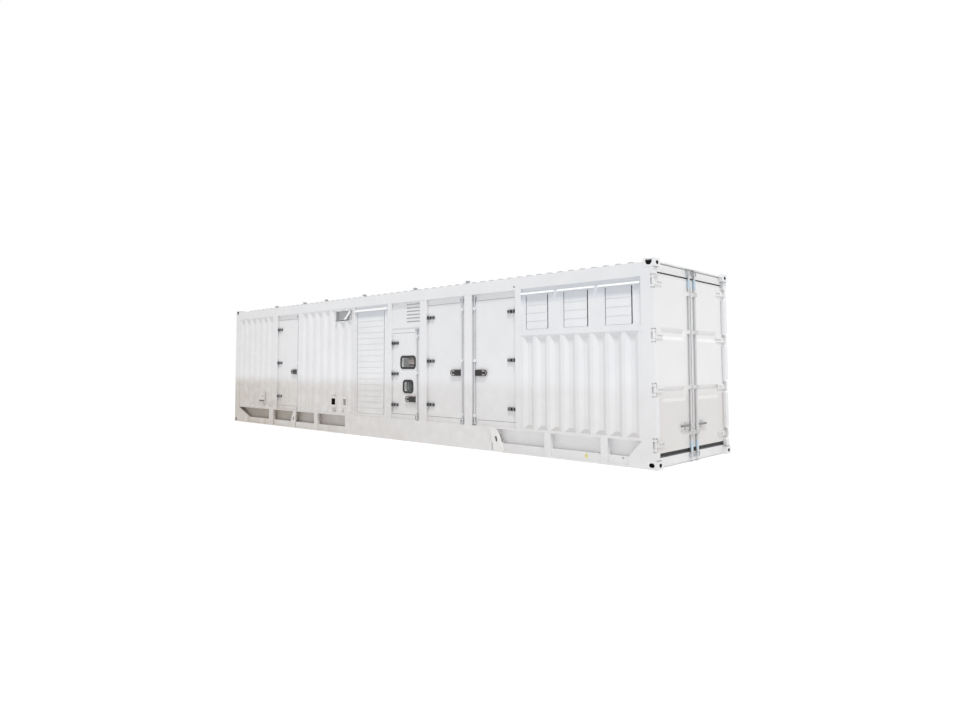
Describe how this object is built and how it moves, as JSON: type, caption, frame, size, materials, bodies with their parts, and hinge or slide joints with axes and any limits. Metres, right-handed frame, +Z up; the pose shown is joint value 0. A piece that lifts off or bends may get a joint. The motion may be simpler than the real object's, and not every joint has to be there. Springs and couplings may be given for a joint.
{
  "type": "containerised diesel generator set",
  "caption": "White container housing of a diesel generator set with side access doors, a control door with windows, louvre banks, lifting lugs and end doors with lock rods.",
  "frame": {"origin": "centre of the footprint on the ground", "axes": "+X along the length towards the double end doors, +Z up, the control side faces -Y"},
  "size_m": [12.192, 2.438, 2.914],
  "materials": {
    "white_paint": "semi-gloss paint",
    "black_steel": "satin black",
    "galvanised": "galvanised",
    "gasket_rubber": "matt",
    "window_glass": "clear",
    "deck_paint": "matt grey",
    "cabinet_paint": "powder coat"
  },
  "bodies": {
    "housing": {"bottom_castings": "white_paint", "top_castings": "white_paint", "corner_posts": "white_paint", "top_side_rails": "white_paint", "door_header": "white_paint", "door_sill": "white_paint", "far_end_rails": "white_paint", "base_side_front": "white_paint", "base_side_back": "white_paint", "base_tank": "white_paint", "floor_beams": "white_paint", "floor_deck": "deck_paint", "lifting_lugs": "white_paint", "front_posts": "white_paint", "front_panels": "white_paint", "door_surrounds": "white_paint", "control_vent_panel": "white_paint", "tall_louvre": "white_paint", "high_louvres": "white_paint", "rain_hoods": "white_paint", "vent_scoop": "white_paint", "pocket_boxes": "white_paint", "service_box": "white_paint", "back_posts": "white_paint", "back_panels": "white_paint", "back_louvres": "white_paint", "far_end_panel": "white_paint", "roof_panel": "white_paint", "roof_caps": "galvanised", "side_hinges": "black_steel", "end_hinges": "white_paint", "lock_keepers": "galvanised", "control_cabinet": "cabinet_paint"},
    "man_leaf": {"man_door": "white_paint", "man_door_straps": "black_steel"},
    "man_lock": {"man_door_rod": "galvanised"},
    "control_leaf": {"control_door": "white_paint", "control_door_straps": "black_steel", "control_windows": "window_glass", "control_gaskets": "gasket_rubber"},
    "control_lock": {"control_door_rod": "galvanised"},
    "access_left_leaf": {"access_door_left": "white_paint", "access_left_straps": "black_steel"},
    "access_left_lock": {"access_left_rod": "galvanised"},
    "access_right_leaf": {"access_door_right": "white_paint", "access_right_straps": "black_steel"},
    "access_right_lock": {"access_right_rod": "galvanised"},
    "end_left_leaf": {"end_door_left": "white_paint", "end_left_straps": "white_paint", "end_left_gasket": "gasket_rubber"},
    "end_left_lock": {"end_left_rod": "galvanised"},
    "end_right_leaf": {"end_door_right": "white_paint", "end_right_straps": "white_paint", "end_right_gasket": "gasket_rubber"},
    "end_right_lock": {"end_right_rod": "galvanised"}
  },
  "joints": [
    {"name": "man_door_swing", "type": "hinge", "parent": "housing", "child": "man_leaf", "pos_m": [-3.936, -1.204, 1.51], "axis": [0, 0, -1], "range_deg": [0, 120]},
    {"name": "control_door_swing", "type": "hinge", "parent": "housing", "child": "control_leaf", "pos_m": [0.439, -1.204, 1.272], "axis": [0, 0, -1], "range_deg": [0, 120]},
    {"name": "access_left_swing", "type": "hinge", "parent": "housing", "child": "access_left_leaf", "pos_m": [1.469, -1.204, 1.51], "axis": [0, 0, -1], "range_deg": [0, 120]},
    {"name": "access_right_swing", "type": "hinge", "parent": "housing", "child": "access_right_leaf", "pos_m": [3.579, -1.204, 1.51], "axis": [0, 0, 1], "range_deg": [0, 120]},
    {"name": "end_left_swing", "type": "hinge", "parent": "housing", "child": "end_left_leaf", "pos_m": [6.058, -1.195, 1.4], "axis": [0, 0, -1], "range_deg": [0, 250]},
    {"name": "end_right_swing", "type": "hinge", "parent": "housing", "child": "end_right_leaf", "pos_m": [6.058, 1.195, 1.4], "axis": [0, 0, 1], "range_deg": [0, 250]},
    {"name": "man_rod_turn", "type": "hinge", "parent": "man_leaf", "child": "man_lock", "pos_m": [-3.041, -1.194, 1.3], "axis": [0, 0, 1], "range_deg": [0, 100]},
    {"name": "control_rod_turn", "type": "hinge", "parent": "control_leaf", "child": "control_lock", "pos_m": [1.164, -1.194, 0.792], "axis": [0, 0, 1], "range_deg": [0, 100]},
    {"name": "access_left_rod_turn", "type": "hinge", "parent": "access_left_leaf", "child": "access_left_lock", "pos_m": [2.364, -1.194, 1.3], "axis": [0, 0, 1], "range_deg": [0, 100]},
    {"name": "access_right_rod_turn", "type": "hinge", "parent": "access_right_leaf", "child": "access_right_lock", "pos_m": [2.664, -1.194, 1.3], "axis": [0, 0, -1], "range_deg": [0, 100]},
    {"name": "end_left_rod_turn", "type": "hinge", "parent": "end_left_leaf", "child": "end_left_lock", "pos_m": [6.051, -0.093, 0.533], "axis": [0, 0, 1], "range_deg": [0, 100]},
    {"name": "end_right_rod_turn", "type": "hinge", "parent": "end_right_leaf", "child": "end_right_lock", "pos_m": [6.051, 0.093, 0.533], "axis": [0, 0, -1], "range_deg": [0, 100]}
  ]
}
